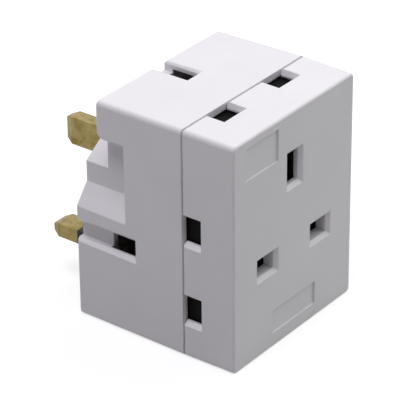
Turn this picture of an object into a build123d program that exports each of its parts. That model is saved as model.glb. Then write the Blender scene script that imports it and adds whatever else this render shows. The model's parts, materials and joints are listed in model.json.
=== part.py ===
"""Three-way plug-in socket adapter: fused, with shuttered sockets on its front, top and left side.

Frame: millimetres, the origin on the pin face midway between the line and neutral pins.
+X is to the right as seen from the front, +Y points out along the pins, +Z is up.
"""
import os
from math import atan, degrees

from build123d import *

os.makedirs("parts", exist_ok=True)

# block
body_width = 50.4            # at the parting plane
body_height = 62.9           # at the parting plane
cover_depth = 15.1           # front face to parting plane
housing_depth = 33.75        # parting plane to pin face
block_depth = 26.5           # parting plane to the back of the upper block
wall = 1.9                   # moulded wall
front_wall = 3.8             # wall of the front face
end_wall = 2.6               # back of the upper block
earth_slot_wall = 2.2        # front wall where it is relieved behind the earth slot
back_wall = 3.0              # wall that carries the pins
cover_draft = 0.28           # each side, over the cover
housing_draft = 0.41         # each side, over the rear housing
corner_radius = 1.25         # long edges
front_radius = 0.7           # edges of the front face
back_radius = 0.5            # edges of the pin face
block_radius = 2.0           # lower back edge of the upper block
parting_bevel = 0.3          # bevel of the cover's rim along the parting line
parting_slit = 0.3           # width of the slit behind that rim
parting_slit_depth = 0.8
overcut = 5.0                # open cuts run this far past a face
pin_axis_height = 14.25      # line and neutral pins above the base
socket_height = 24.55        # line and neutral slots of the front and side sockets above the base

# grip recess on each side, and the plug-shaped base
grip_depth = 4.2             # from the side face
grip_front = 15.45           # its front wall, ahead of the pin face
upper_block = 10.4           # height of the block over the recess
ledge_over_socket = 6.85     # foot of the recess's sloped ledge above the side socket's axis
ledge_rise = 5.3             # height of that ledge
shoulder_run = 9.6           # how far the plug base's sloped shoulder runs inwards
flank_share = 0.357          # upright flank below the shoulder, as a share of the recess's height
shoulder_share = 0.76        # top of the shoulder, as a share of the recess's height
rim_radius = 0.6             # rounded rims of the recess and of the upper block's back

# pins
pin_spacing = 22.23          # line to neutral, and their axis to earth
pin_width = 6.35
pin_thickness = 4.0
pin_length = 17.4
earth_width = 8.0
earth_length = 22.3
tip_length = 2.0             # tapered tip
tip_inset = 0.9
pin_edge = 0.3               # rounded long edges
sleeve_length = 9.0
sleeve_thickness = 0.45
pin_root = 8.7               # how far a pin reaches in behind the pin face
pin_collar = 1.7             # moulded collar round each pin root
spigot_diameter = 2.8
spigot_head = 4.4
spigot_head_height = 0.7
earth_spigot_drop = 1.6       # earth spigot below the pin's middle, clear of the strip's bend

# slots
slot_long = 6.9              # line and neutral slots of the front and side sockets
top_slot_long = 7.8          # and of the top socket
slot_earth_long = 8.7
slot_short = 4.8
lead_in = 1.0                # bevel round each slot's mouth
top_lead = 0.6               # along the sides of the top socket's slots
notch_bevel = 1.4            # depth of that bevel on the top and side sockets' line and neutral slots
relief_margin = 2.2          # relief behind the front earth slot, past the slot's edges
channel_depth = 2.8          # earth slots run out at the back of the block as channels
slot_setback = 2.1           # top and side sockets' line and neutral slots, ahead of the parting plane

# shutters
shutter_gap = 0.5            # shutter to wall
shutter_thickness = 1.8
shutter_travel = 6.0
shutter_lap = 0.5            # blade past the slot edge
stem_half = 3.4
ramp_depth = 5.7             # height of the ramp that the earth pin pushes
ramp_nose = 1.2
window_half = 1.8            # spring window in the stem
window_start = 4.0
window_length = 11.0
post_clearance = 0.3
post_width = 2.8
post_length = 1.5
post_height = 3.6
spring_diameter = 3.0
spring_wire = 0.5
spring_turns = 4.5
spring_clearance = 0.15

# contacts and strips
strip_thickness = 0.6
strip_width = 6.0
contact_mouth = 8.0          # mouth of a line or neutral contact behind the outer face
contact_reach = 18.8         # back of its bridge behind the outer face
earth_mouth = 11.0
earth_reach = 23.8           # the same for the front earth contact
top_strip_gap = 5.6          # top contacts' strips above the side line contact
earth_strip_rise = 2.4       # earth strip above the earth pin's middle
earth_contact_width = 5.0
mouth_half = 2.75            # centre of a contact leaf at its mouth
throat_half = 2.1            # and at the throat
bridge_half = 2.6            # and at the bridge
throat_step = 3.0            # mouth to throat
rivet_diameter = 1.8
rivet_head = 3.2
rivet_head_height = 0.4

# fuse and carrier
fuse_length = 25.4
fuse_cap_length = 5.5
fuse_cap_diameter = 6.35
fuse_tube_diameter = 5.8
fuse_cap_wall = 0.25
fuse_clearance = 0.2
fuse_clip_width = 3.4
fuse_clip_gap = 0.05
carrier_end = 2.5            # carrier past each end of the fuse
carrier_height = 10.0
carrier_thickness = 1.2
carrier_clearance = 0.2
carrier_recess = 0.2
saddle_width = 4.0
saddle_height = 8.0
saddle_reach = 5.4
saddle_gap = 0.6             # saddle to fuse cap
compartment_wall = 1.2
compartment_depth = 8.0

# case screws
screw_side = 19.9            # two upper screws, from the centre line
screw_low = 5.2              # lower screw, on the centre line, above the base
screw_high = 5.2             # below the top
boss_radius = 3.7
well_radius = 2.7
seat_thickness = 2.0
screw_radius = 1.4
screw_head_radius = 2.5
screw_head_height = 1.8
screw_bite = 8.0

# bare recessed panels on the front face
panel_depth = 0.4
upper_panel_left = 4.6       # from the block's left side
upper_panel_top = 2.65       # below the top
upper_panel_width = 13.6
upper_panel_height = 8.5
lower_panel_foot = 4.1       # above the base
lower_panel_width = 18.1
lower_panel_height = 6.3

# places that follow from the sizes above
half_width = body_width / 2
base_z = -pin_axis_height
top_z = base_z + body_height
parting_y = -housing_depth
front_y = parting_y - cover_depth
block_back_y = parting_y + block_depth
slot_y = parting_y - slot_setback
socket_z = base_z + socket_height
line_x = pin_spacing / 2
earth_y = slot_y + pin_spacing
earth_pin_z = pin_spacing
grip_x = half_width - housing_draft - grip_depth
grip_top = top_z - upper_block
grip_foot = socket_z + ledge_over_socket
grip_ledge = grip_foot + ledge_rise
grip_height = grip_top - grip_ledge
shoulder_foot = grip_ledge + flank_share * grip_height
shoulder_top = grip_ledge + shoulder_share * grip_height
ledge_slope = ledge_rise / grip_depth
t = strip_thickness
strip_y = front_y + contact_reach
earth_strip_y = front_y + earth_reach
earth_strip_z = earth_pin_z + earth_strip_rise
earth_top_reach = top_z - earth_strip_z
side_strip_x = -half_width + contact_reach
earth_half = strip_width / 2 + 0.5
earth_side_x = earth_half - t
earth_side_reach = half_width + earth_side_x
root_y = -pin_root
fuse_z = pin_spacing / 2
fuse_y = root_y + t + fuse_clearance + fuse_cap_diameter / 2
line_side_z = socket_z + line_x
neutral_side_z = socket_z - line_x
top_strip_z = line_side_z + strip_width / 2 + top_strip_gap
top_reach = top_z - top_strip_z
window_end = window_start + window_length
post_start = window_start + post_clearance
post_end = post_start + post_length
spring_length = window_end - post_end - 2 * spring_clearance
arm_x = line_x + strip_width / 2
fuse_clip_x = fuse_length / 2 - fuse_clip_width / 2 - 0.2
carrier_length = fuse_length + 2 * carrier_end
saddle_place = fuse_length / 2 - fuse_cap_length - saddle_gap - saddle_width / 2
low_screw_z = base_z + screw_low
high_screw_z = top_z - screw_high
screw_places = [
    (0, low_screw_z, 0),
    (-screw_side, high_screw_z, block_back_y),
    (screw_side, high_screw_z, block_back_y),
]
upper_panel_x = -half_width + upper_panel_left + upper_panel_width / 2
upper_panel_z = top_z - upper_panel_top - upper_panel_height / 2
lower_panel_z = base_z + lower_panel_foot + lower_panel_height / 2

# each socket's own plane: local x runs from neutral to line, local y to earth, local z outwards
front_socket = Plane(origin=(0, front_y, socket_z), x_dir=(1, 0, 0), z_dir=(0, -1, 0))
top_socket = Plane(origin=(0, slot_y, top_z), x_dir=(1, 0, 0), z_dir=(0, 0, 1))
side_socket = Plane(origin=(-half_width, slot_y, socket_z), x_dir=(0, 0, 1), z_dir=(-1, 0, 0))


def flat(y):
    """Upright plane facing the front, at one place along Y."""
    return Plane.XZ.offset(-y)


def prism(plane, outline, amount, mode=Mode.ADD):
    """Extrude a closed outline of plane points along the plane's normal."""
    with BuildSketch(plane) as face:
        with BuildLine():
            Polyline(*outline, close=True)
        make_face()
    extrude(face.sketch, amount=amount, mode=mode)


def bar(plane, x0, x1, y0, y1, amount, mode=Mode.ADD, taper=0.0):
    """Extrude a rectangle given by its plane limits."""
    with BuildSketch(plane) as face:
        with Locations(((x0 + x1) / 2, (y0 + y1) / 2)):
            Rectangle(x1 - x0, y1 - y0)
    extrude(face.sketch, amount=amount, taper=taper, mode=mode)


def disc(plane, x, y, radius, amount, mode=Mode.ADD):
    """Extrude a circle."""
    with BuildSketch(plane) as face:
        with Locations((x, y)):
            Circle(radius)
    extrude(face.sketch, amount=amount, mode=mode)


def bent_strip(plane, path, width, bend=1.0, mode=Mode.ADD):
    """Sheet of strip thickness whose middle follows a path, spread evenly to both sides of the plane."""
    with BuildSketch(plane) as face:
        with BuildLine() as middle:
            FilletPolyline(*path, radius=bend)
        trace(middle.line, line_width=t)
    extrude(face.sketch, amount=width / 2, both=True, mode=mode)


def sunk(plane, depth):
    """The socket's plane moved inwards."""
    return plane.offset(-depth)


def slot_cut(plane, x, y, x_size, y_size, through, lead=lead_in):
    """Slot through a wall, with a bevelled mouth."""
    half_x = x_size / 2
    half_y = y_size / 2
    bar(plane, x - half_x, x + half_x, y - half_y, y + half_y, -through, Mode.SUBTRACT)
    half_x += lead
    half_y += lead
    bar(plane, x - half_x, x + half_x, y - half_y, y + half_y, -lead, Mode.SUBTRACT, 45)


def shutter_body(plane, behind):
    """Slotted blade with a stem, a spring window and a ramp in the earth pin's way."""
    top = sunk(plane, behind + shutter_gap)
    reach = line_x + top_slot_long / 2 + shutter_lap - 0.2
    blade = slot_short / 2 + shutter_lap
    ramp_end = pin_spacing - earth_width / 2 + shutter_travel - 0.1
    ramp_start = ramp_end - shutter_travel
    bar(top, -reach, reach, -blade, blade, -shutter_thickness)
    bar(top, -stem_half, stem_half, blade - 0.5, ramp_start, -shutter_thickness)
    bar(top, -window_half, window_half, window_start, window_end, -shutter_thickness, Mode.SUBTRACT)
    side = Plane(origin=top.origin, x_dir=top.y_dir, z_dir=top.x_dir)
    wedge = [
        (window_end + 0.8, 0),
        (ramp_start, 0),
        (ramp_end, ramp_nose - ramp_depth),
        (ramp_end, -ramp_depth),
        (window_end + 0.8, -ramp_depth + 1.5),
    ]
    with BuildSketch(side) as face:
        with BuildLine():
            Polyline(*wedge, close=True)
        make_face()
    extrude(face.sketch, amount=stem_half, both=True)


def spring_post(plane, behind):
    """Moulded post that stands through the shutter's window and carries the spring's fixed end."""
    inner = sunk(plane, behind - 0.4)
    bar(inner, -post_width / 2, post_width / 2, post_start, post_end, -(post_height + 0.4))


def spring_coil(plane, behind):
    """Compression spring of square wire, lying in the shutter's window."""
    seat = sunk(plane, behind + shutter_gap + spring_clearance + spring_diameter / 2)
    start = seat.origin + seat.y_dir * (post_end + spring_clearance + spring_wire / 2)
    along = Plane(origin=start, x_dir=seat.x_dir, z_dir=seat.y_dir)
    radius = (spring_diameter - spring_wire) / 2
    rise = spring_length - spring_wire
    with BuildLine() as path:
        wire = Helix(pitch=rise / spring_turns, height=rise, radius=radius)
    coil = path.line.moved(along.location)
    with BuildSketch(Plane(origin=coil @ 0, x_dir=along.x_dir, z_dir=coil % 0)) as section:
        Rectangle(spring_wire, spring_wire)
    sweep(section.sketch, path=coil, is_frenet=True)


def leaf_contact(plane, x, y, reach, earth=False):
    """Folded contact: a bridge and two leaves that nip the pin, with flared mouths."""
    mouth = earth_mouth if earth else contact_mouth
    width = earth_contact_width if earth else strip_width
    centre = plane.origin + plane.x_dir * x + plane.y_dir * y
    if earth:
        view = Plane(origin=centre, x_dir=plane.x_dir, z_dir=-plane.y_dir)
    else:
        view = Plane(origin=centre, x_dir=plane.y_dir, z_dir=plane.x_dir)
    path = [
        (mouth_half, -mouth),
        (throat_half, -mouth - throat_step),
        (bridge_half, -reach + t / 2),
        (-bridge_half, -reach + t / 2),
        (-throat_half, -mouth - throat_step),
        (-mouth_half, -mouth),
    ]
    bent_strip(view, path, width, 0.6)
    disc(sunk(plane, reach), x, y, rivet_diameter / 2, t, Mode.SUBTRACT)


def rivet(plane, x, y, reach):
    """Rivet through a contact's bridge and its strip."""
    outer = sunk(plane, reach - t)
    disc(outer, x, y, rivet_head / 2, rivet_head_height)
    disc(outer, x, y, rivet_diameter / 2, -2 * t)
    disc(sunk(plane, reach + t), x, y, rivet_head / 2, -rivet_head_height)


def rivet_hole(plane, x, y, reach):
    """Hole in the strip behind a contact's bridge."""
    disc(sunk(plane, reach), x, y, rivet_diameter / 2, -t, Mode.SUBTRACT)


def spigot_hole(x, z):
    """Hole for a pin's riveted spigot in a strip behind the pin roots."""
    disc(flat(root_y), x, z, spigot_diameter / 2, t, Mode.SUBTRACT)


def pin_section(x, z, x_size, z_size, y):
    """Rounded cross-section of a pin at one place along Y."""
    with BuildSketch(flat(y)) as face:
        with Locations((x, z)):
            RectangleRounded(x_size, z_size, pin_edge)
    return face.sketch


def pin_bar(x, z, x_size, z_size, y, amount, mode=Mode.ADD):
    """Length of a pin's cross-section."""
    extrude(pin_section(x, z, x_size, z_size, y), amount=amount, mode=mode)


def pin_shape(x, z, x_size, z_size, length, drop=0.0):
    """Drawn bar with a tapered tip outside and a riveted spigot inside."""
    shoulder = length - tip_length
    pin_bar(x, z, x_size, z_size, root_y, -(pin_root + shoulder))
    tip_start = pin_section(x, z, x_size, z_size, shoulder)
    tip_end = pin_section(x, z, x_size - 2 * tip_inset, z_size - 2 * tip_inset, length)
    loft([tip_start, tip_end])
    disc(flat(root_y), x, z - drop, spigot_diameter / 2, t)
    disc(flat(root_y - t), x, z - drop, spigot_head / 2, spigot_head_height)


def ring(x, z, x_size, z_size, depth, amount, mode):
    """Rectangular ring or plug of given thickness round a pin, from the pin face outwards."""
    bar(flat(depth), x - x_size / 2, x + x_size / 2, z - z_size / 2, z + z_size / 2, amount, mode)


def plaque(x, z, x_size, z_size):
    """Bare shallow recess in the front face."""
    half_x = x_size / 2
    half_z = z_size / 2
    bar(flat(front_y), x - half_x, x + half_x, z - half_z, z + half_z, -panel_depth, Mode.SUBTRACT)


# rear housing: drafted block, plug-shaped base, grip recesses, sockets for pins, fuse and screws
with BuildPart() as rear_housing:
    with BuildSketch(flat(parting_y)) as parting_face:
        with Locations((0, base_z + body_height / 2)):
            Rectangle(body_width, body_height)
    extrude(amount=-housing_depth)
    drafted = rear_housing.faces().filter_by(lambda f: abs(f.normal_at().X) > 0.9 or f.normal_at().Z > 0.9)
    draft(drafted, flat(parting_y), -degrees(atan(housing_draft / housing_depth)))
    long_edges = rear_housing.edges().filter_by(lambda e: abs((e % 0.5).Y) > 0.9)
    fillet(long_edges, corner_radius)
    # everything behind the upper block except the plug-shaped base
    out_x = half_width + 2
    out_z = grip_foot - (out_x - grip_x - grip_depth) * ledge_slope
    base_half = [
        (out_x, out_z),
        (grip_x, grip_ledge),
        (grip_x, shoulder_foot),
        (grip_x - shoulder_run, shoulder_top),
    ]
    over = [(out_x, top_z + 2), (-out_x, top_z + 2)]
    plug_top = [(-x, z) for x, z in base_half] + base_half[::-1]
    prism(flat(block_back_y), plug_top + over, -(pin_root + overcut), Mode.SUBTRACT)
    # grip recesses
    for side in (-1, 1):
        recess = [
            (side * out_x, out_z),
            (side * grip_x, grip_ledge),
            (side * grip_x, grip_top),
            (side * out_x, grip_top),
        ]
        prism(flat(-grip_front), recess, -(grip_front + overcut), Mode.SUBTRACT)
    back_edges = rear_housing.edges().filter_by(lambda e: abs(e.center().Y) < 0.01)
    fillet(back_edges, back_radius)
    under_edges = rear_housing.edges().filter_by(
        lambda e: abs(e.center().Y - block_back_y) < 0.01 and abs(e.center().Z - grip_top) < 0.01
    )
    fillet(under_edges, block_radius)
    # rims of the grip recesses and of the upper block's back
    side_x = half_width - housing_draft - 0.5
    rim = rear_housing.edges().filter_by(
        lambda e: abs(e.center().X) > side_x and e.center().Y > -grip_front - 0.1
        and grip_foot - 0.5 < e.center().Z < grip_top + 0.1
    )
    fillet(rim, rim_radius)
    # narrow slit along the parting line
    with BuildSketch(flat(parting_y)) as slit:
        with Locations((0, base_z + body_height / 2)):
            Rectangle(body_width + 2, body_height + 2)
            joint_width = body_width - 2 * parting_slit_depth
            joint_height = body_height - 2 * parting_slit_depth
            Rectangle(joint_width, joint_height, mode=Mode.SUBTRACT)
    extrude(slit.sketch, amount=-parting_slit, mode=Mode.SUBTRACT)
    # it deepens to the whole wall behind the line and neutral slots
    slit_end = slot_setback + parting_slit
    for socket, long, bevel in ((top_socket, top_slot_long, top_lead), (side_socket, slot_long, lead_in)):
        half = long / 2 + bevel
        for x in (-line_x, line_x):
            bar(socket, x - half, x + half, slot_setback, slit_end, -wall - 0.5, Mode.SUBTRACT)
    # hollow
    inner_x = half_width - wall
    inner_top = top_z - wall
    waist_x = grip_x - wall
    bar(flat(parting_y), -inner_x, inner_x, base_z + wall, inner_top, -(housing_depth - grip_front - wall),
        Mode.SUBTRACT)
    waist = [
        (-inner_x, base_z + wall),
        (inner_x, base_z + wall),
        (inner_x, grip_foot - wall),
        (waist_x, grip_ledge - wall),
        (waist_x, grip_top + wall),
        (inner_x, grip_top + wall),
        (inner_x, inner_top),
        (-inner_x, inner_top),
        (-inner_x, grip_top + wall),
        (-waist_x, grip_top + wall),
        (-waist_x, grip_ledge - wall),
        (-inner_x, grip_foot - wall),
    ]
    prism(flat(-grip_front - wall), waist, -(grip_front + wall + block_back_y - end_wall), Mode.SUBTRACT)
    foot_x = half_width - channel_depth - 1.8
    foot = [
        (-foot_x, base_z + wall),
        (foot_x, base_z + wall),
        (foot_x, grip_foot - wall - 1),
        (waist_x, grip_ledge - wall),
        (waist_x, shoulder_foot - 1),
        (grip_x - shoulder_run, shoulder_top - wall - 0.4),
        (-grip_x + shoulder_run, shoulder_top - wall - 0.4),
        (-waist_x, shoulder_foot - 1),
        (-waist_x, grip_ledge - wall),
        (-foot_x, grip_foot - wall - 1),
    ]
    prism(flat(block_back_y - end_wall - 1), foot, -(-block_back_y + end_wall + 1 - back_wall), Mode.SUBTRACT)
    # earth slots of the top and side sockets, each running out at the back as a channel
    surface_drop = housing_draft * (earth_y - parting_y) / housing_depth
    for socket, bevel in ((top_socket, top_lead), (side_socket, lead_in)):
        lead = bevel + surface_drop
        slot_cut(socket, 0, pin_spacing, slot_short, slot_earth_long, wall, lead)
        half = slot_short / 2
        mouth = half + 2 * lead
        channel = [(-half, -channel_depth), (half, -channel_depth), (half, -lead)]
        channel += [(mouth, lead), (-mouth, lead), (-half, -lead)]
        end = socket.origin + socket.y_dir * pin_spacing
        across = Plane(origin=end, x_dir=socket.x_dir, z_dir=-socket.y_dir)
        prism(across, channel, -pin_spacing * 2, Mode.SUBTRACT)
        spring_post(socket, wall)
    # pin collars and the fuse compartment
    pin_places = [
        (line_x, 0, pin_width, pin_thickness),
        (-line_x, 0, pin_width, pin_thickness),
        (0, earth_pin_z, pin_thickness, earth_width),
    ]
    collar_height = pin_root - 1.4
    for x, z, x_size, z_size in pin_places:
        collar_x = x_size + 2 * pin_collar
        collar_z = z_size + 2 * pin_collar
        ring(x, z, collar_x, collar_z, -1 - collar_height, -collar_height, Mode.ADD)
    fuse_hole_x = carrier_length + 2 * carrier_clearance
    fuse_hole_z = carrier_height + 2 * carrier_clearance
    compartment_x = fuse_hole_x + 2 * compartment_wall
    compartment_z = fuse_hole_z + 2 * compartment_wall
    ring(0, fuse_z, compartment_x, compartment_z, -compartment_depth, 1 - compartment_depth, Mode.ADD)
    for x, z, x_size, z_size in pin_places:
        pin_bar(x, z, x_size, z_size, -pin_root - 1, -(pin_root + overcut), Mode.SUBTRACT)
    ring(0, fuse_z, fuse_hole_x, fuse_hole_z, -pin_root - 1, -(pin_root + overcut), Mode.SUBTRACT)
    # screw bosses with deep wells
    for x, z, back in screw_places:
        disc(flat(parting_y), x, z, boss_radius, -(back - 1 - parting_y))
        well_depth = back + overcut - parting_y
        disc(flat(parting_y + seat_thickness), x, z, well_radius, -well_depth, Mode.SUBTRACT)
        disc(flat(parting_y), x, z, screw_radius + 0.2, -seat_thickness, Mode.SUBTRACT)
rear_housing.part.label = "rear_housing"
export_step(rear_housing.part, "parts/rear_housing.step")

# front cover: drafted tray with the front socket, the notches of the top and side sockets and two bare panels
with BuildPart() as front_cover:
    with BuildSketch(flat(parting_y)) as rim_face:
        with Locations((0, base_z + body_height / 2)):
            Rectangle(body_width, body_height)
    extrude(amount=cover_depth)
    drafted = front_cover.faces().filter_by(lambda f: abs(f.normal_at().X) > 0.9 or f.normal_at().Z > 0.9)
    draft(drafted, flat(parting_y), degrees(atan(cover_draft / cover_depth)))
    cover_long_edges = front_cover.edges().filter_by(lambda e: abs((e % 0.5).Y) > 0.9)
    fillet(cover_long_edges, corner_radius)
    face_edges = front_cover.edges().filter_by(lambda e: abs(e.center().Y - front_y) < 0.01)
    fillet(face_edges, front_radius)
    cover_rim = front_cover.edges().filter_by(lambda e: abs(e.center().Y - parting_y) < 0.01)
    chamfer(cover_rim, parting_bevel)
    cover_x = half_width - wall
    tray_depth = cover_depth - front_wall
    tray = flat(parting_y - tray_depth)
    bar(tray, -cover_x, cover_x, base_z + wall, top_z - wall, -tray_depth, Mode.SUBTRACT)
    for x in (-line_x, line_x):
        slot_cut(front_socket, x, 0, slot_long, slot_short, front_wall)
    slot_cut(front_socket, 0, pin_spacing, slot_short, slot_earth_long, front_wall)
    relief_x = slot_short / 2 + relief_margin
    relief_y = slot_earth_long / 2 + relief_margin
    relief = sunk(front_socket, earth_slot_wall)
    bar(relief, -relief_x, relief_x, pin_spacing - relief_y, pin_spacing + relief_y,
        earth_slot_wall - front_wall, Mode.SUBTRACT)
    for socket, long, bevel in ((top_socket, top_slot_long, top_lead), (side_socket, slot_long, lead_in)):
        notch_taper = degrees(atan(bevel / notch_bevel))
        for x in (-line_x, line_x):
            near = x - long / 2
            far = x + long / 2
            front = -slot_short / 2
            bar(socket, near, far, front, slot_setback + 4, -wall - 0.5, Mode.SUBTRACT)
            near -= bevel
            far += bevel
            front -= lead_in
            bar(socket, near, far, front, slot_setback + 4, -notch_bevel, Mode.SUBTRACT, notch_taper)
    spring_post(front_socket, front_wall)
    plaque(upper_panel_x, upper_panel_z, upper_panel_width, upper_panel_height)
    plaque(0, lower_panel_z, lower_panel_width, lower_panel_height)
    for x, z, back in screw_places:
        disc(flat(front_y + 1), x, z, boss_radius, -(cover_depth - 1))
        disc(flat(parting_y), x, z, screw_radius, screw_bite, Mode.SUBTRACT)
front_cover.part.label = "front_cover"
export_step(front_cover.part, "parts/front_cover.step")

# pins
with BuildPart() as earth_pin:
    pin_shape(0, earth_pin_z, pin_thickness, earth_width, earth_length, earth_spigot_drop)
earth_pin.part.label = "earth_pin"
export_step(earth_pin.part, "parts/earth_pin.step")

core_width = pin_width - 2 * sleeve_thickness
core_thickness = pin_thickness - 2 * sleeve_thickness
with BuildPart() as line_pin:
    pin_shape(line_x, 0, pin_width, pin_thickness, pin_length)
    ring(line_x, 0, pin_width + 1, pin_thickness + 1, 0, -sleeve_length, Mode.SUBTRACT)
    ring(line_x, 0, core_width, core_thickness, 0, -sleeve_length, Mode.ADD)
line_pin.part.label = "line_pin"
export_step(line_pin.part, "parts/line_pin.step")

with BuildPart() as neutral_pin:
    pin_shape(-line_x, 0, pin_width, pin_thickness, pin_length)
    ring(-line_x, 0, pin_width + 1, pin_thickness + 1, 0, -sleeve_length, Mode.SUBTRACT)
    ring(-line_x, 0, core_width, core_thickness, 0, -sleeve_length, Mode.ADD)
neutral_pin.part.label = "neutral_pin"
export_step(neutral_pin.part, "parts/neutral_pin.step")

with BuildPart() as line_pin_sleeve:
    pin_bar(line_x, 0, pin_width, pin_thickness, 0, -sleeve_length)
    ring(line_x, 0, core_width, core_thickness, 0, -sleeve_length, Mode.SUBTRACT)
line_pin_sleeve.part.label = "line_pin_sleeve"
export_step(line_pin_sleeve.part, "parts/line_pin_sleeve.step")

with BuildPart() as neutral_pin_sleeve:
    pin_bar(-line_x, 0, pin_width, pin_thickness, 0, -sleeve_length)
    ring(-line_x, 0, core_width, core_thickness, 0, -sleeve_length, Mode.SUBTRACT)
neutral_pin_sleeve.part.label = "neutral_pin_sleeve"
export_step(neutral_pin_sleeve.part, "parts/neutral_pin_sleeve.step")

# strips
with BuildPart() as neutral_busbar:
    spine = Plane(origin=(-line_x, 0, 0), x_dir=(0, 1, 0), z_dir=(1, 0, 0))
    bent_strip(
        spine,
        [
            (strip_y + t / 2, neutral_side_z - strip_width / 2),
            (strip_y + t / 2, top_strip_z - t / 2),
            (slot_y - strip_width / 2, top_strip_z - t / 2),
        ],
        strip_width,
    )
    arm = Plane(origin=(0, 0, 0), x_dir=(1, 0, 0), z_dir=(0, 0, 1))
    bent_strip(
        arm.offset(neutral_side_z),
        [
            (-line_x, strip_y + t / 2),
            (side_strip_x + t / 2, strip_y + t / 2),
            (side_strip_x + t / 2, slot_y - strip_width / 2),
        ],
        strip_width,
    )
    bent_strip(
        arm,
        [
            (-line_x, strip_y + t / 2),
            (-arm_x - t / 2, strip_y + t / 2),
            (-arm_x - t / 2, root_y - t / 2),
            (-line_x + strip_width / 2, root_y - t / 2),
        ],
        strip_width - 1.5,
    )
    spigot_hole(-line_x, 0)
    rivet_hole(front_socket, -line_x, 0, contact_reach)
    rivet_hole(top_socket, -line_x, 0, top_reach)
    rivet_hole(side_socket, -line_x, 0, contact_reach)
neutral_busbar.part.label = "neutral_busbar"
export_step(neutral_busbar.part, "parts/neutral_busbar.step")

with BuildPart() as line_busbar:
    bent_strip(
        Plane(origin=(line_x, 0, 0), x_dir=(0, 1, 0), z_dir=(1, 0, 0)),
        [
            (strip_y + t / 2, socket_z - strip_width / 2),
            (strip_y + t / 2, top_strip_z - t / 2),
            (slot_y - strip_width / 2, top_strip_z - t / 2),
        ],
        strip_width,
    )
    bent_strip(
        Plane.XY.offset(line_side_z),
        [
            (line_x, strip_y + t / 2),
            (side_strip_x + t / 2, strip_y + t / 2),
            (side_strip_x + t / 2, slot_y - strip_width / 2),
        ],
        strip_width,
    )
    bent_strip(
        Plane.XY.offset(fuse_z),
        [
            (line_x, strip_y + t / 2),
            (arm_x + t / 2, strip_y + t / 2),
            (arm_x + t / 2, root_y - t / 2),
            (fuse_clip_x - fuse_clip_width / 2, root_y - t / 2),
        ],
        strip_width,
    )
    rivet_hole(front_socket, line_x, 0, contact_reach)
    rivet_hole(top_socket, line_x, 0, top_reach)
    rivet_hole(side_socket, line_x, 0, contact_reach)
line_busbar.part.label = "line_busbar"
export_step(line_busbar.part, "parts/line_busbar.step")

with BuildPart() as supply_strip:
    cross_z = pin_thickness / 2 + pin_collar + 0.6
    prism(
        flat(root_y),
        [
            (line_x - strip_width / 2, -strip_width / 2),
            (line_x + strip_width / 2, -strip_width / 2),
            (line_x + strip_width / 2, cross_z + 2.4),
            (-fuse_clip_x + fuse_clip_width / 2, cross_z + 2.4),
            (-fuse_clip_x + fuse_clip_width / 2, fuse_z + strip_width / 2),
            (-fuse_clip_x - fuse_clip_width / 2, fuse_z + strip_width / 2),
            (-fuse_clip_x - fuse_clip_width / 2, cross_z),
            (line_x - strip_width / 2, cross_z),
        ],
        t,
    )
    spigot_hole(line_x, 0)
supply_strip.part.label = "supply_strip"
export_step(supply_strip.part, "parts/supply_strip.step")

with BuildPart() as earth_busbar:
    bent_strip(
        Plane.YZ,
        [
            (root_y - t / 2, earth_pin_z - earth_width / 2),
            (root_y - t / 2, earth_strip_z - t / 2),
            (earth_strip_y + t / 2, earth_strip_z - t / 2),
            (earth_strip_y + t / 2, socket_z + pin_spacing + earth_contact_width / 2),
        ],
        2 * earth_half,
    )
    leg = Plane(origin=(earth_side_x, 0, 0), x_dir=(0, 1, 0), z_dir=(1, 0, 0))
    leg_half = earth_contact_width / 2
    leg_foot = socket_z - strip_width / 2
    bar(leg, earth_y - leg_half, earth_y + leg_half, leg_foot, earth_strip_z - t / 2, t)
    spigot_hole(0, earth_pin_z - earth_spigot_drop)
    rivet_hole(front_socket, 0, pin_spacing, earth_reach)
    rivet_hole(top_socket, 0, pin_spacing, earth_top_reach)
    rivet_hole(side_socket, 0, pin_spacing, earth_side_reach)
earth_busbar.part.label = "earth_busbar"
export_step(earth_busbar.part, "parts/earth_busbar.step")

# contacts of the front socket
with BuildPart() as front_line_contact:
    leaf_contact(front_socket, line_x, 0, contact_reach)
front_line_contact.part.label = "front_line_contact"
export_step(front_line_contact.part, "parts/front_line_contact.step")

with BuildPart() as front_neutral_contact:
    leaf_contact(front_socket, -line_x, 0, contact_reach)
front_neutral_contact.part.label = "front_neutral_contact"
export_step(front_neutral_contact.part, "parts/front_neutral_contact.step")

with BuildPart() as front_earth_contact:
    leaf_contact(front_socket, 0, pin_spacing, earth_reach, earth=True)
front_earth_contact.part.label = "front_earth_contact"
export_step(front_earth_contact.part, "parts/front_earth_contact.step")

# contacts of the top socket
with BuildPart() as top_line_contact:
    leaf_contact(top_socket, line_x, 0, top_reach)
top_line_contact.part.label = "top_line_contact"
export_step(top_line_contact.part, "parts/top_line_contact.step")

with BuildPart() as top_neutral_contact:
    leaf_contact(top_socket, -line_x, 0, top_reach)
top_neutral_contact.part.label = "top_neutral_contact"
export_step(top_neutral_contact.part, "parts/top_neutral_contact.step")

with BuildPart() as top_earth_contact:
    leaf_contact(top_socket, 0, pin_spacing, earth_top_reach, earth=True)
top_earth_contact.part.label = "top_earth_contact"
export_step(top_earth_contact.part, "parts/top_earth_contact.step")

# contacts of the side socket
with BuildPart() as side_line_contact:
    leaf_contact(side_socket, line_x, 0, contact_reach)
side_line_contact.part.label = "side_line_contact"
export_step(side_line_contact.part, "parts/side_line_contact.step")

with BuildPart() as side_neutral_contact:
    leaf_contact(side_socket, -line_x, 0, contact_reach)
side_neutral_contact.part.label = "side_neutral_contact"
export_step(side_neutral_contact.part, "parts/side_neutral_contact.step")

with BuildPart() as side_earth_contact:
    leaf_contact(side_socket, 0, pin_spacing, earth_side_reach, earth=True)
side_earth_contact.part.label = "side_earth_contact"
export_step(side_earth_contact.part, "parts/side_earth_contact.step")

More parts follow.
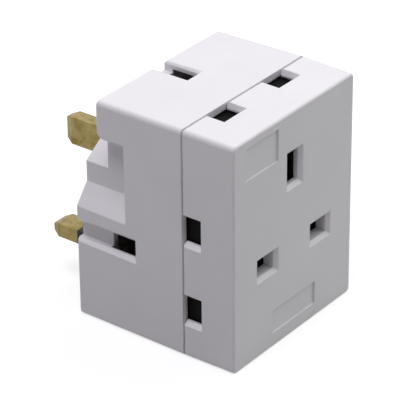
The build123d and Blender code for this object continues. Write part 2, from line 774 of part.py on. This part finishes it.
# rivets that hold the contacts to their strips, one group for each pole
with BuildPart() as line_rivets:
    rivet(front_socket, line_x, 0, contact_reach)
    rivet(top_socket, line_x, 0, top_reach)
    rivet(side_socket, line_x, 0, contact_reach)
line_rivets.part.label = "line_rivets"
export_step(line_rivets.part, "parts/line_rivets.step")

with BuildPart() as neutral_rivets:
    rivet(front_socket, -line_x, 0, contact_reach)
    rivet(top_socket, -line_x, 0, top_reach)
    rivet(side_socket, -line_x, 0, contact_reach)
neutral_rivets.part.label = "neutral_rivets"
export_step(neutral_rivets.part, "parts/neutral_rivets.step")

with BuildPart() as earth_rivets:
    rivet(front_socket, 0, pin_spacing, earth_reach)
    rivet(top_socket, 0, pin_spacing, earth_top_reach)
    rivet(side_socket, 0, pin_spacing, earth_side_reach)
earth_rivets.part.label = "earth_rivets"
export_step(earth_rivets.part, "parts/earth_rivets.step")

# shutters and their springs
with BuildPart() as front_shutter:
    shutter_body(front_socket, front_wall)
front_shutter.part.label = "front_shutter"
export_step(front_shutter.part, "parts/front_shutter.step")

with BuildPart() as top_shutter:
    shutter_body(top_socket, wall)
top_shutter.part.label = "top_shutter"
export_step(top_shutter.part, "parts/top_shutter.step")

with BuildPart() as side_shutter:
    shutter_body(side_socket, wall)
side_shutter.part.label = "side_shutter"
export_step(side_shutter.part, "parts/side_shutter.step")

with BuildPart() as front_shutter_spring:
    spring_coil(front_socket, front_wall)
front_shutter_spring.part.label = "front_shutter_spring"
export_step(front_shutter_spring.part, "parts/front_shutter_spring.step")

with BuildPart() as top_shutter_spring:
    spring_coil(top_socket, wall)
top_shutter_spring.part.label = "top_shutter_spring"
export_step(top_shutter_spring.part, "parts/top_shutter_spring.step")

with BuildPart() as side_shutter_spring:
    spring_coil(side_socket, wall)
side_shutter_spring.part.label = "side_shutter_spring"
export_step(side_shutter_spring.part, "parts/side_shutter_spring.step")

# fuse, its clips and its carrier
fuse_axis = Plane(origin=(0, fuse_y, fuse_z), x_dir=(0, 1, 0), z_dir=(1, 0, 0))
tube_half = fuse_length / 2 - fuse_cap_wall - 0.3
with BuildPart() as fuse_tube:
    disc(fuse_axis.offset(-tube_half), 0, 0, fuse_tube_diameter / 2, 2 * tube_half)
fuse_tube.part.label = "fuse_tube"
export_step(fuse_tube.part, "parts/fuse_tube.step")

with BuildPart() as fuse_cap_supply:
    disc(fuse_axis.offset(-fuse_length / 2), 0, 0, fuse_cap_diameter / 2, fuse_cap_length)
    disc(fuse_axis.offset(-tube_half), 0, 0, fuse_tube_diameter / 2, fuse_cap_length, Mode.SUBTRACT)
    rim = fuse_cap_supply.edges().filter_by(GeomType.CIRCLE).sort_by(Axis.X)[0]
    fillet(rim, 0.4)
fuse_cap_supply.part.label = "fuse_cap_supply"
export_step(fuse_cap_supply.part, "parts/fuse_cap_supply.step")

with BuildPart() as fuse_cap_load:
    disc(fuse_axis.offset(fuse_length / 2), 0, 0, fuse_cap_diameter / 2, -fuse_cap_length)
    disc(fuse_axis.offset(tube_half), 0, 0, fuse_tube_diameter / 2, -fuse_cap_length, Mode.SUBTRACT)
    rim = fuse_cap_load.edges().filter_by(GeomType.CIRCLE).sort_by(Axis.X)[-1]
    fillet(rim, 0.4)
fuse_cap_load.part.label = "fuse_cap_load"
export_step(fuse_cap_load.part, "parts/fuse_cap_load.step")

clip_plane = Plane(origin=(0, 0, fuse_z), x_dir=(0, 1, 0), z_dir=(1, 0, 0))
clip_half = fuse_cap_diameter / 2 + fuse_clip_gap + t / 2
clip_path = [
    (-2.2, clip_half + 0.5),
    (-3.2, clip_half),
    (root_y + t / 2, clip_half),
    (root_y + t / 2, -clip_half),
    (-3.2, -clip_half),
    (-2.2, -clip_half - 0.5),
]
with BuildPart() as fuse_clip_supply:
    bent_strip(clip_plane.offset(-fuse_clip_x), clip_path, fuse_clip_width, 0.5)
fuse_clip_supply.part.label = "fuse_clip_supply"
export_step(fuse_clip_supply.part, "parts/fuse_clip_supply.step")

with BuildPart() as fuse_clip_load:
    bent_strip(clip_plane.offset(fuse_clip_x), clip_path, fuse_clip_width, 0.5)
fuse_clip_load.part.label = "fuse_clip_load"
export_step(fuse_clip_load.part, "parts/fuse_clip_load.step")

with BuildPart() as fuse_carrier:
    face_y = -carrier_recess
    half_l = carrier_length / 2
    half_h = carrier_height / 2
    foot_z = fuse_z - half_h
    behind_plate = flat(face_y - carrier_thickness)
    bar(behind_plate, -half_l, half_l, foot_z, fuse_z + half_h, -carrier_thickness)
    for x in (-saddle_place, saddle_place):
        near = x - saddle_width / 2
        far = x + saddle_width / 2
        rise = saddle_height / 2
        bar(behind_plate, near, far, fuse_z - rise, fuse_z + rise, saddle_reach)
        opening = fuse_tube_diameter / 2 - 0.5
        bar(flat(fuse_y), near, far, fuse_z - opening, fuse_z + opening, 8, Mode.SUBTRACT)
    disc(fuse_axis.offset(-saddle_place - saddle_width), 0, 0, fuse_tube_diameter / 2 + 0.05,
         2 * (saddle_place + saddle_width), Mode.SUBTRACT)
    bar(flat(face_y), -3, 3, foot_z, foot_z + 0.9, 0.8, Mode.SUBTRACT)
fuse_carrier.part.label = "fuse_carrier"
export_step(fuse_carrier.part, "parts/fuse_carrier.step")

# three case screws, driven from the back into the cover's bosses
with BuildPart() as case_screws:
    for x, z, back in screw_places:
        head = flat(parting_y + seat_thickness)
        disc(head, x, z, screw_head_radius, -screw_head_height)
        disc(head, x, z, screw_radius, seat_thickness + screw_bite - 0.5)
        drive = flat(parting_y + seat_thickness + screw_head_height)
        bar(drive, x - 1.6, x + 1.6, z - 0.3, z + 0.3, 0.9, Mode.SUBTRACT)
        bar(drive, x - 0.3, x + 0.3, z - 1.6, z + 1.6, 0.9, Mode.SUBTRACT)
case_screws.part.label = "case_screws"
export_step(case_screws.part, "parts/case_screws.step")
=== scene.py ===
"""Looks, stage, light and camera for a three-way plug-in socket adapter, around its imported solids."""
import json
from math import cos, radians, sin

import bmesh
import bpy
from mathutils import Matrix, Vector

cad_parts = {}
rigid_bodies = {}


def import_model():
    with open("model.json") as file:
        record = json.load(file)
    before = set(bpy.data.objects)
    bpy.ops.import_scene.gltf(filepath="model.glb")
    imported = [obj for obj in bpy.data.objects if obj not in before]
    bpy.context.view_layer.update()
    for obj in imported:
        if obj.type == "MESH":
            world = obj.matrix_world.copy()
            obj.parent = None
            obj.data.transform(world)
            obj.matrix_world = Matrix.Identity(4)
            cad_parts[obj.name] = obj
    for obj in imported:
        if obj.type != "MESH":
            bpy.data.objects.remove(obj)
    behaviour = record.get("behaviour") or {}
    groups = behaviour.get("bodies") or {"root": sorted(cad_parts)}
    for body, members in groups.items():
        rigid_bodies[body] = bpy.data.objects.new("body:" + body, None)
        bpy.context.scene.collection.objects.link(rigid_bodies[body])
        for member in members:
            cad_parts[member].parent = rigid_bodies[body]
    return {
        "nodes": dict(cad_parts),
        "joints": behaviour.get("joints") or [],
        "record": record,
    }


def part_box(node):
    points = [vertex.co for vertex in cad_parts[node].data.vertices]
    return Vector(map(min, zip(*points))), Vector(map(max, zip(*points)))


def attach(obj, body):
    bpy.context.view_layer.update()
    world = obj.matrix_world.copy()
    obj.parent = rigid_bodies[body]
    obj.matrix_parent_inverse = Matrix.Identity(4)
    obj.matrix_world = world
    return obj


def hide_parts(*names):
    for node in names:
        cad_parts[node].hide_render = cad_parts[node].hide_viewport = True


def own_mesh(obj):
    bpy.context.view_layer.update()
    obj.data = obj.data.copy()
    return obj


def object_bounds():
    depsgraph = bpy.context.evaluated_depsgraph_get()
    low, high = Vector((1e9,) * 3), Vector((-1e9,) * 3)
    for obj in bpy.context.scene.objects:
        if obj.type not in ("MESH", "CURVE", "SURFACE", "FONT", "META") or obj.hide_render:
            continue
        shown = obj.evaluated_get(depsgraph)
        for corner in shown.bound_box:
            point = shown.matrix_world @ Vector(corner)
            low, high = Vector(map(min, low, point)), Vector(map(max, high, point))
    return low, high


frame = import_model()
cad_low, cad_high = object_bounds()
nodes = frame["nodes"]

MM = 0.001                               # the frame is in metres

# camera, worked out from the standard pin and slot pattern, then set finely against the photograph
IMAGE_SIZE = 405                         # pixels, both ways
FOCAL_PIXELS = 2574.95
CAMERA_AZIMUTH = radians(-52.57)         # seen from the front left
CAMERA_ELEVATION = radians(29.24)
CAMERA_ROLL = radians(-0.557)
CAMERA_DISTANCE = 645.6 * MM
CAMERA_TARGET = Vector((0, -21.8, 15.8)) * MM
CAMERA_SIDE = 0.98 * MM                  # target's offset in the frame
CAMERA_RISE = 1.6 * MM
SENSOR_WIDTH = 36.0                      # Blender takes this and the focal length in millimetres
NEAR_CLIP = 10 * MM
FAR_CLIP = 20.0

# a ring of softboxes, with places and sides in metres
COOL_WHITE = "#FBF8FF"
PLAIN_WHITE = "#FFFFFF"
WARM_WHITE = "#FDFFFA"
SOFTBOXES = {
    "left_softbox": dict(place=(-0.3, 0, 0.8), side=0.4, watts=2.73, colour=COOL_WHITE),
    "left_front_softbox": dict(place=(-0.25, -0.25, 0.8), side=0.4, watts=1.05, colour=PLAIN_WHITE),
    "right_front_softbox": dict(place=(0.5, -0.5, 0.5), side=0.8, watts=1.85, colour=WARM_WHITE),
    "right_softbox": dict(place=(0.5, 0, 0.6), side=0.8, watts=2.25, colour=PLAIN_WHITE),
    "right_back_softbox": dict(place=(0.6, 0.5, 0.45), side=0.6, watts=0.4, colour=PLAIN_WHITE),
    "back_softbox": dict(place=(0, 0.5, 0.6), side=0.6, watts=0.9, colour=COOL_WHITE),
}
AIM = Vector((0, -20, 20)) * MM          # what they all point at
ROOM_LIGHT = 0.02                        # dim and even, from all round

# the white table
TABLE_REACH = 3.0                        # metres from its middle to each side
SHADOW_REACH = 150 * MM                  # it is plain this far round the object,
WHITE_FROM = 600 * MM                    # and an even white from here on
PLAIN_GLOW = 0.65                        # light of its own that it shows in the plain part,
WHITE_GLOW = 1.0                         # and in the white part

# round wire of the shutter springs
SPRING_WIRE = 0.5 * MM
SPRING_TURNS = 4.5
STEPS_A_TURN = 24
WIRE_SIDES = 10

# edges too fine for the solids, softened by the shading
MOULDED_EDGE = 0.4 * MM                  # how far the mould's own rounding softens an edge
WORN_EDGE = 0.35 * MM                    # the same on tumbled brass
EDGE_SAMPLES = 6

# sizes of the surface patterns, in millimetres
MOULD_CLOUD = 14
MOULD_GRAIN = 0.35                       # about 0.1 in truth, drawn coarser so that it shows
BLACK_GRAIN = 0.3                        # the same
BRASS_CLOUD = 2.6
LINE_GAP = 0.15                          # drawing lines are finer in truth, drawn coarser so that they show
LINE_LENGTH = 7.5
RUB_MARK = 0.9
GLAZE_CLOUD = 1.5

GRAIN_DEPTH = 0.03 * MM
LINE_DEPTH = 0.02 * MM


def srgb(code):
    """Linear colour of an sRGB hex value."""
    channels = [int(code[i:i + 2], 16) / 255 for i in (1, 3, 5)]
    linear = [c / 12.92 if c <= 0.04045 else ((c + 0.055) / 1.055) ** 2.4 for c in channels]
    return (*linear, 1.0)


def per_metre(size_mm):
    """Noise scale that gives features of this size in millimetres."""
    return 1 / (size_mm * MM)


def add(tree, kind, inputs=None, **settings):
    """Adds a node with its settings; an input that is a socket is linked, anything else is its value."""
    made = tree.nodes.new(kind)
    for name, value in settings.items():
        setattr(made, name, value)
    for name, value in (inputs or {}).items():
        if isinstance(value, bpy.types.NodeSocket):
            tree.links.new(value, made.inputs[name])
        else:
            made.inputs[name].default_value = value
    return made


def start(name, **shader_values):
    """A new material with its tree and shader, and the values that are the same all over the surface."""
    material = bpy.data.materials.new(name)
    material.use_nodes = True
    shader = material.node_tree.nodes["Principled BSDF"]
    for socket, value in shader_values.items():
        shader.inputs[socket.replace("_", " ")].default_value = value
    return material, material.node_tree, shader


def white_moulding():
    """Urea plastic from a spark-eroded mould: a clean cool white, satin, with a fine even grain."""
    material, tree, shader = start("urea_plastic_fine_moulded", IOR=1.5)
    place = add(tree, "ShaderNodeTexCoord").outputs["Object"]
    cloud = add(tree, "ShaderNodeTexNoise", {"Vector": place, "Detail": 3.0})
    cloud.inputs["Scale"].default_value = per_metre(MOULD_CLOUD)
    tint = add(tree, "ShaderNodeMix", {"Factor": cloud.outputs["Fac"]}, data_type="RGBA")
    tint.inputs["A"].default_value = srgb("#E7E5EA")
    tint.inputs["B"].default_value = srgb("#EFEDF1")
    grain = add(tree, "ShaderNodeTexNoise", {"Vector": place, "Detail": 2.0})
    grain.inputs["Scale"].default_value = per_metre(MOULD_GRAIN)
    sheen = add(tree, "ShaderNodeMapRange", {"Value": grain.outputs["Fac"], "To Min": 0.34, "To Max": 0.46})
    soft_edge = add(tree, "ShaderNodeBevel", {"Radius": MOULDED_EDGE}, samples=EDGE_SAMPLES)
    bump = add(tree, "ShaderNodeBump", {"Height": grain.outputs["Fac"], "Normal": soft_edge.outputs[0]})
    bump.inputs["Strength"].default_value = 0.12
    bump.inputs["Distance"].default_value = GRAIN_DEPTH
    tree.links.new(tint.outputs["Result"], shader.inputs["Base Color"])
    tree.links.new(sheen.outputs["Result"], shader.inputs["Roughness"])
    tree.links.new(bump.outputs["Normal"], shader.inputs["Normal"])
    return material


def dull_brass(name, light, dark, along, smooth, rough):
    """Drawn brass, dulled in the air: cloudy colour, fine lines along the drawing direction."""
    material, tree, shader = start(name, Metallic=1.0)
    place = add(tree, "ShaderNodeTexCoord").outputs["Object"]
    cloud = add(tree, "ShaderNodeTexNoise", {"Vector": place, "Detail": 5.0})
    cloud.inputs["Scale"].default_value = per_metre(BRASS_CLOUD)
    cloud.inputs["Roughness"].default_value = 0.6
    ramp = add(tree, "ShaderNodeMapRange", {"Value": cloud.outputs["Fac"]})
    ramp.inputs["From Min"].default_value = 0.35
    ramp.inputs["From Max"].default_value = 0.68
    tint = add(tree, "ShaderNodeMix", {"Factor": ramp.outputs["Result"]}, data_type="RGBA")
    tint.inputs["A"].default_value = srgb(light)
    tint.inputs["B"].default_value = srgb(dark)
    squeeze = [LINE_GAP / LINE_LENGTH if drawn else 1.0 for drawn in along]
    stretched = add(tree, "ShaderNodeMapping", {"Vector": place, "Scale": squeeze}).outputs["Vector"]
    lines = add(tree, "ShaderNodeTexNoise", {"Vector": stretched, "Scale": per_metre(LINE_GAP)})
    factors = {0: lines.outputs["Fac"], 1: cloud.outputs["Fac"]}
    both = add(tree, "ShaderNodeMath", factors, operation="MULTIPLY").outputs["Value"]
    sheen = add(tree, "ShaderNodeMapRange", {"Value": both, "To Min": smooth, "To Max": rough})
    sheen.inputs["From Min"].default_value = 0.1
    sheen.inputs["From Max"].default_value = 0.45
    soft_edge = add(tree, "ShaderNodeBevel", {"Radius": WORN_EDGE}, samples=EDGE_SAMPLES)
    bump = add(tree, "ShaderNodeBump", {"Height": lines.outputs["Fac"], "Normal": soft_edge.outputs[0]})
    bump.inputs["Strength"].default_value = 0.15
    bump.inputs["Distance"].default_value = LINE_DEPTH
    tree.links.new(tint.outputs["Result"], shader.inputs["Base Color"])
    tree.links.new(sheen.outputs["Result"], shader.inputs["Roughness"])
    tree.links.new(bump.outputs["Normal"], shader.inputs["Normal"])
    return material


def black_plastic(name, light, dark, smooth, rough, shine):
    """Black moulded plastic: a soft sheen over a fine eroded grain."""
    material, tree, shader = start(name, IOR=1.5, Specular_IOR_Level=shine)
    place = add(tree, "ShaderNodeTexCoord").outputs["Object"]
    grain = add(tree, "ShaderNodeTexNoise", {"Vector": place, "Detail": 3.0})
    grain.inputs["Scale"].default_value = per_metre(BLACK_GRAIN)
    fine = grain.outputs["Fac"]
    tint = add(tree, "ShaderNodeMix", {"Factor": fine}, data_type="RGBA")
    tint.inputs["A"].default_value = srgb(dark)
    tint.inputs["B"].default_value = srgb(light)
    sheen = add(tree, "ShaderNodeMapRange", {"Value": fine, "To Min": smooth, "To Max": rough})
    bump = add(tree, "ShaderNodeBump", {"Height": fine, "Strength": 0.15, "Distance": GRAIN_DEPTH})
    tree.links.new(tint.outputs["Result"], shader.inputs["Base Color"])
    tree.links.new(sheen.outputs["Result"], shader.inputs["Roughness"])
    tree.links.new(bump.outputs["Normal"], shader.inputs["Normal"])
    return material


def plated_metal(name, light, dark, smooth, rough):
    """Bright plating, or bare drawn wire, on a small piece: even colour, faint rubbing marks."""
    material, tree, shader = start(name, Metallic=1.0)
    place = add(tree, "ShaderNodeTexCoord").outputs["Object"]
    rub = add(tree, "ShaderNodeTexNoise", {"Vector": place, "Detail": 5.0})
    rub.inputs["Scale"].default_value = per_metre(RUB_MARK)
    tint = add(tree, "ShaderNodeMix", {"Factor": rub.outputs["Fac"]}, data_type="RGBA")
    tint.inputs["A"].default_value = srgb(dark)
    tint.inputs["B"].default_value = srgb(light)
    sheen = add(tree, "ShaderNodeMapRange", {"Value": rub.outputs["Fac"], "To Min": smooth, "To Max": rough})
    tree.links.new(tint.outputs["Result"], shader.inputs["Base Color"])
    tree.links.new(sheen.outputs["Result"], shader.inputs["Roughness"])
    return material


def fuse_ceramic():
    """Glazed ceramic tube: warm off-white, smooth, slightly cloudy under the glaze."""
    material, tree, shader = start("steatite_ceramic_glazed", IOR=1.6, Coat_Weight=0.4, Coat_Roughness=0.1)
    place = add(tree, "ShaderNodeTexCoord").outputs["Object"]
    cloud = add(tree, "ShaderNodeTexNoise", {"Vector": place, "Detail": 4.0})
    cloud.inputs["Scale"].default_value = per_metre(GLAZE_CLOUD)
    tint = add(tree, "ShaderNodeMix", {"Factor": cloud.outputs["Fac"]}, data_type="RGBA")
    tint.inputs["A"].default_value = srgb("#D9D2C2")
    tint.inputs["B"].default_value = srgb("#ECE7DB")
    sheen = add(tree, "ShaderNodeMapRange", {"Value": cloud.outputs["Fac"], "To Min": 0.22, "To Max": 0.34})
    tree.links.new(tint.outputs["Result"], shader.inputs["Base Color"])
    tree.links.new(sheen.outputs["Result"], shader.inputs["Roughness"])
    return material


def wound_wire(name, base, along, length, width):
    """A coil of round wire that starts at its base and rises along its axis."""
    coil = bmesh.new()
    # the wire's round section, upright at the coil's radius, is swept up its turns
    bmesh.ops.create_circle(coil, cap_ends=True, segments=WIRE_SIDES, radius=SPRING_WIRE / 2)
    stand_up = Matrix.Rotation(radians(90), 3, "X")
    bmesh.ops.rotate(coil, verts=coil.verts, cent=(0, 0, 0), matrix=stand_up)
    bmesh.ops.translate(coil, verts=coil.verts, vec=((width - SPRING_WIRE) / 2, 0, SPRING_WIRE / 2))
    steps = round(SPRING_TURNS * STEPS_A_TURN)
    climb = (0, 0, (length - SPRING_WIRE) / steps)
    bmesh.ops.spin(coil, geom=coil.verts[:] + coil.edges[:] + coil.faces[:], cent=(0, 0, 0), axis=(0, 0, 1),
                   dvec=climb, angle=radians(360 * SPRING_TURNS), steps=steps)
    bmesh.ops.recalc_face_normals(coil, faces=coil.faces)
    for face in coil.faces:
        face.smooth = len(face.verts) == 4       # the wire's two cut ends stay flat
    turn = Vector((0, 0, 1)).rotation_difference(along).to_matrix().to_4x4()
    coil.transform(Matrix.Translation(base) @ turn)
    mesh = bpy.data.meshes.new(name)
    coil.to_mesh(mesh)
    coil.free()
    made = bpy.data.objects.new(name, mesh)
    bpy.context.scene.collection.objects.link(made)
    return made


def return_springs(wire):
    """Springs of round wire between the case and its shutters, fixed to the case at their rest length."""
    for joint in frame["joints"]:
        for soft in joint.get("deforming_nodes", []):
            low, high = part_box(soft["node"])
            along = -Vector(joint["axis"])       # from the case, against the way the shutter opens
            length = abs((high - low).dot(along))
            middle = (low + high) / 2
            base = middle - along * length / 2
            made = wound_wire(soft["node"] + "_coil", base, along, length, min(high - low))
            made.data.materials.append(wire)
            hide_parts(soft["node"])
            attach(made, joint["parent"])
            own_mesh(made)


def dress():
    """Gives every solid the material of its real piece, and the shutters their springs."""
    pin_brass = dull_brass(
        "brass_drawn_pins", light="#94865A", dark="#7A6A3A", along=(0, 1, 0), smooth=0.3, rough=0.5)
    strip_brass = dull_brass(
        "brass_rolled_strip", light="#D2B566", dark="#B99A4A", along=(0, 0, 1), smooth=0.22, rough=0.4)
    sleeve_black = black_plastic(
        "nylon_moulded_sleeve", light="#161618", dark="#0D0D0E", smooth=0.45, rough=0.6, shine=0.3)
    shutter_black = black_plastic(
        "acetal_moulded_shutter", light="#09090A", dark="#040405", smooth=0.6, rough=0.75, shine=0.1)
    nickel = plated_metal(
        "brass_nickel_plated_cap", light="#D6D3CC", dark="#BDB9B1", smooth=0.16, rough=0.34)
    spring = plated_metal(
        "spring_steel_wire", light="#9FA0A3", dark="#7D7E82", smooth=0.25, rough=0.42)
    zinc = plated_metal(
        "steel_zinc_plated_screw", light="#C2C6CB", dark="#9DA2A8", smooth=0.25, rough=0.45)
    by_slot = {
        "white_moulding": white_moulding(),
        "black_shutter_plastic": shutter_black,
        "black_sleeve_plastic": sleeve_black,
        "pin_brass": pin_brass,
        "strip_brass": strip_brass,
        "fuse_cap_plating": nickel,
        "fuse_ceramic": fuse_ceramic(),
        "spring_steel": spring,
        "zinc_plated_steel": zinc,
    }
    for part in frame["record"]["subparts"]:
        mesh = nodes[part["node"]].data
        mesh.materials.clear()
        mesh.materials.append(by_slot[part["material_slot"]])
    return_springs(spring)


def camera():
    """The photograph's own view."""
    flat = cos(CAMERA_ELEVATION)
    back = Vector((sin(CAMERA_AZIMUTH) * flat, -cos(CAMERA_AZIMUTH) * flat, sin(CAMERA_ELEVATION)))
    level = Vector((cos(CAMERA_AZIMUTH), sin(CAMERA_AZIMUTH), 0))
    upright = back.cross(level)
    right = level * cos(CAMERA_ROLL) + upright * sin(CAMERA_ROLL)
    up = upright * cos(CAMERA_ROLL) - level * sin(CAMERA_ROLL)
    data = bpy.data.cameras.new("camera")
    data.sensor_width = SENSOR_WIDTH
    data.lens = FOCAL_PIXELS * SENSOR_WIDTH / IMAGE_SIZE
    data.clip_start = NEAR_CLIP
    data.clip_end = FAR_CLIP
    made = bpy.data.objects.new("camera", data)
    bpy.context.scene.collection.objects.link(made)
    turn = Matrix((right, up, back)).transposed().to_4x4()
    place = CAMERA_TARGET + back * CAMERA_DISTANCE - right * CAMERA_SIDE - up * CAMERA_RISE
    made.matrix_world = Matrix.Translation(place) @ turn
    bpy.context.scene.camera = made


def softbox(name, place, side, watts, colour):
    """A square studio lamp that points at the object."""
    data = bpy.data.lights.new(name, "AREA")
    data.size = side
    data.energy = watts
    data.color = srgb(colour)[:3]
    made = bpy.data.objects.new(name, data)
    bpy.context.scene.collection.objects.link(made)
    made.location = place
    made.rotation_euler = (AIM - Vector(place)).to_track_quat("-Z", "Y").to_euler()
    made.visible_camera = False


def looked_at(tree):
    """1 where the lens or a reflection looks at the surroundings, 0 where they only send light on."""
    ray = add(tree, "ShaderNodeLightPath")
    seen = ray.outputs["Is Camera Ray"]
    for kind in ("Is Glossy Ray", "Is Transmission Ray"):
        seen = add(tree, "ShaderNodeMath", {0: seen, 1: ray.outputs[kind]}, operation="MAXIMUM").outputs[0]
    return seen


def white_paper():
    """Matt paper that looks white all over and keeps a faint shadow near the object."""
    material = bpy.data.materials.new("white_paper_matt")
    material.use_nodes = True
    tree = material.node_tree
    tree.nodes.clear()
    place = add(tree, "ShaderNodeTexCoord").outputs["Object"]
    away = add(tree, "ShaderNodeVectorMath", {0: place}, operation="LENGTH").outputs["Value"]
    whiter = add(tree, "ShaderNodeMapRange", {"Value": away, "To Min": PLAIN_GLOW, "To Max": WHITE_GLOW})
    whiter.inputs["From Min"].default_value = SHADOW_REACH
    whiter.inputs["From Max"].default_value = WHITE_FROM
    # it sends light on as plain paper does, and glows as well where it is looked at
    bounce = add(tree, "ShaderNodeBsdfDiffuse", {"Color": srgb("#BFBFBF")})
    lit = add(tree, "ShaderNodeBsdfDiffuse", {"Color": srgb("#BDBDBD")})
    glow = add(tree, "ShaderNodeEmission", {"Strength": whiter.outputs["Result"]})
    shown = add(tree, "ShaderNodeAddShader", {0: lit.outputs[0], 1: glow.outputs[0]})
    seen = looked_at(tree)
    either = add(tree, "ShaderNodeMixShader", {0: seen, 1: bounce.outputs[0], 2: shown.outputs[0]})
    add(tree, "ShaderNodeOutputMaterial", {"Surface": either.outputs[0]})
    return material


def table():
    """A wide sheet of white paper under the object."""
    mesh = bpy.data.meshes.new("floor")
    sheet = bmesh.new()
    bmesh.ops.create_grid(sheet, x_segments=1, y_segments=1, size=TABLE_REACH)
    bmesh.ops.translate(sheet, verts=sheet.verts, vec=(0, 0, cad_low.z))
    sheet.to_mesh(mesh)
    sheet.free()
    floor = bpy.data.objects.new("floor", mesh)
    bpy.context.scene.collection.objects.link(floor)
    mesh.materials.append(white_paper())


def room():
    """A dim and even room that looks white."""
    world = bpy.data.worlds.new("room")
    bpy.context.scene.world = world
    world.use_nodes = True
    tree = world.node_tree
    tree.nodes.clear()
    dim = add(tree, "ShaderNodeBackground", {"Color": srgb(PLAIN_WHITE), "Strength": ROOM_LIGHT})
    white = add(tree, "ShaderNodeBackground", {"Color": srgb(PLAIN_WHITE), "Strength": 1.0})
    seen = looked_at(tree)
    either = add(tree, "ShaderNodeMixShader", {0: seen, 1: dim.outputs[0], 2: white.outputs[0]})
    add(tree, "ShaderNodeOutputWorld", {"Surface": either.outputs[0]})


dress()
camera()
table()
room()
for name, settings in SOFTBOXES.items():
    softbox(name, **settings)
bpy.context.scene.view_settings.view_transform = "Standard"
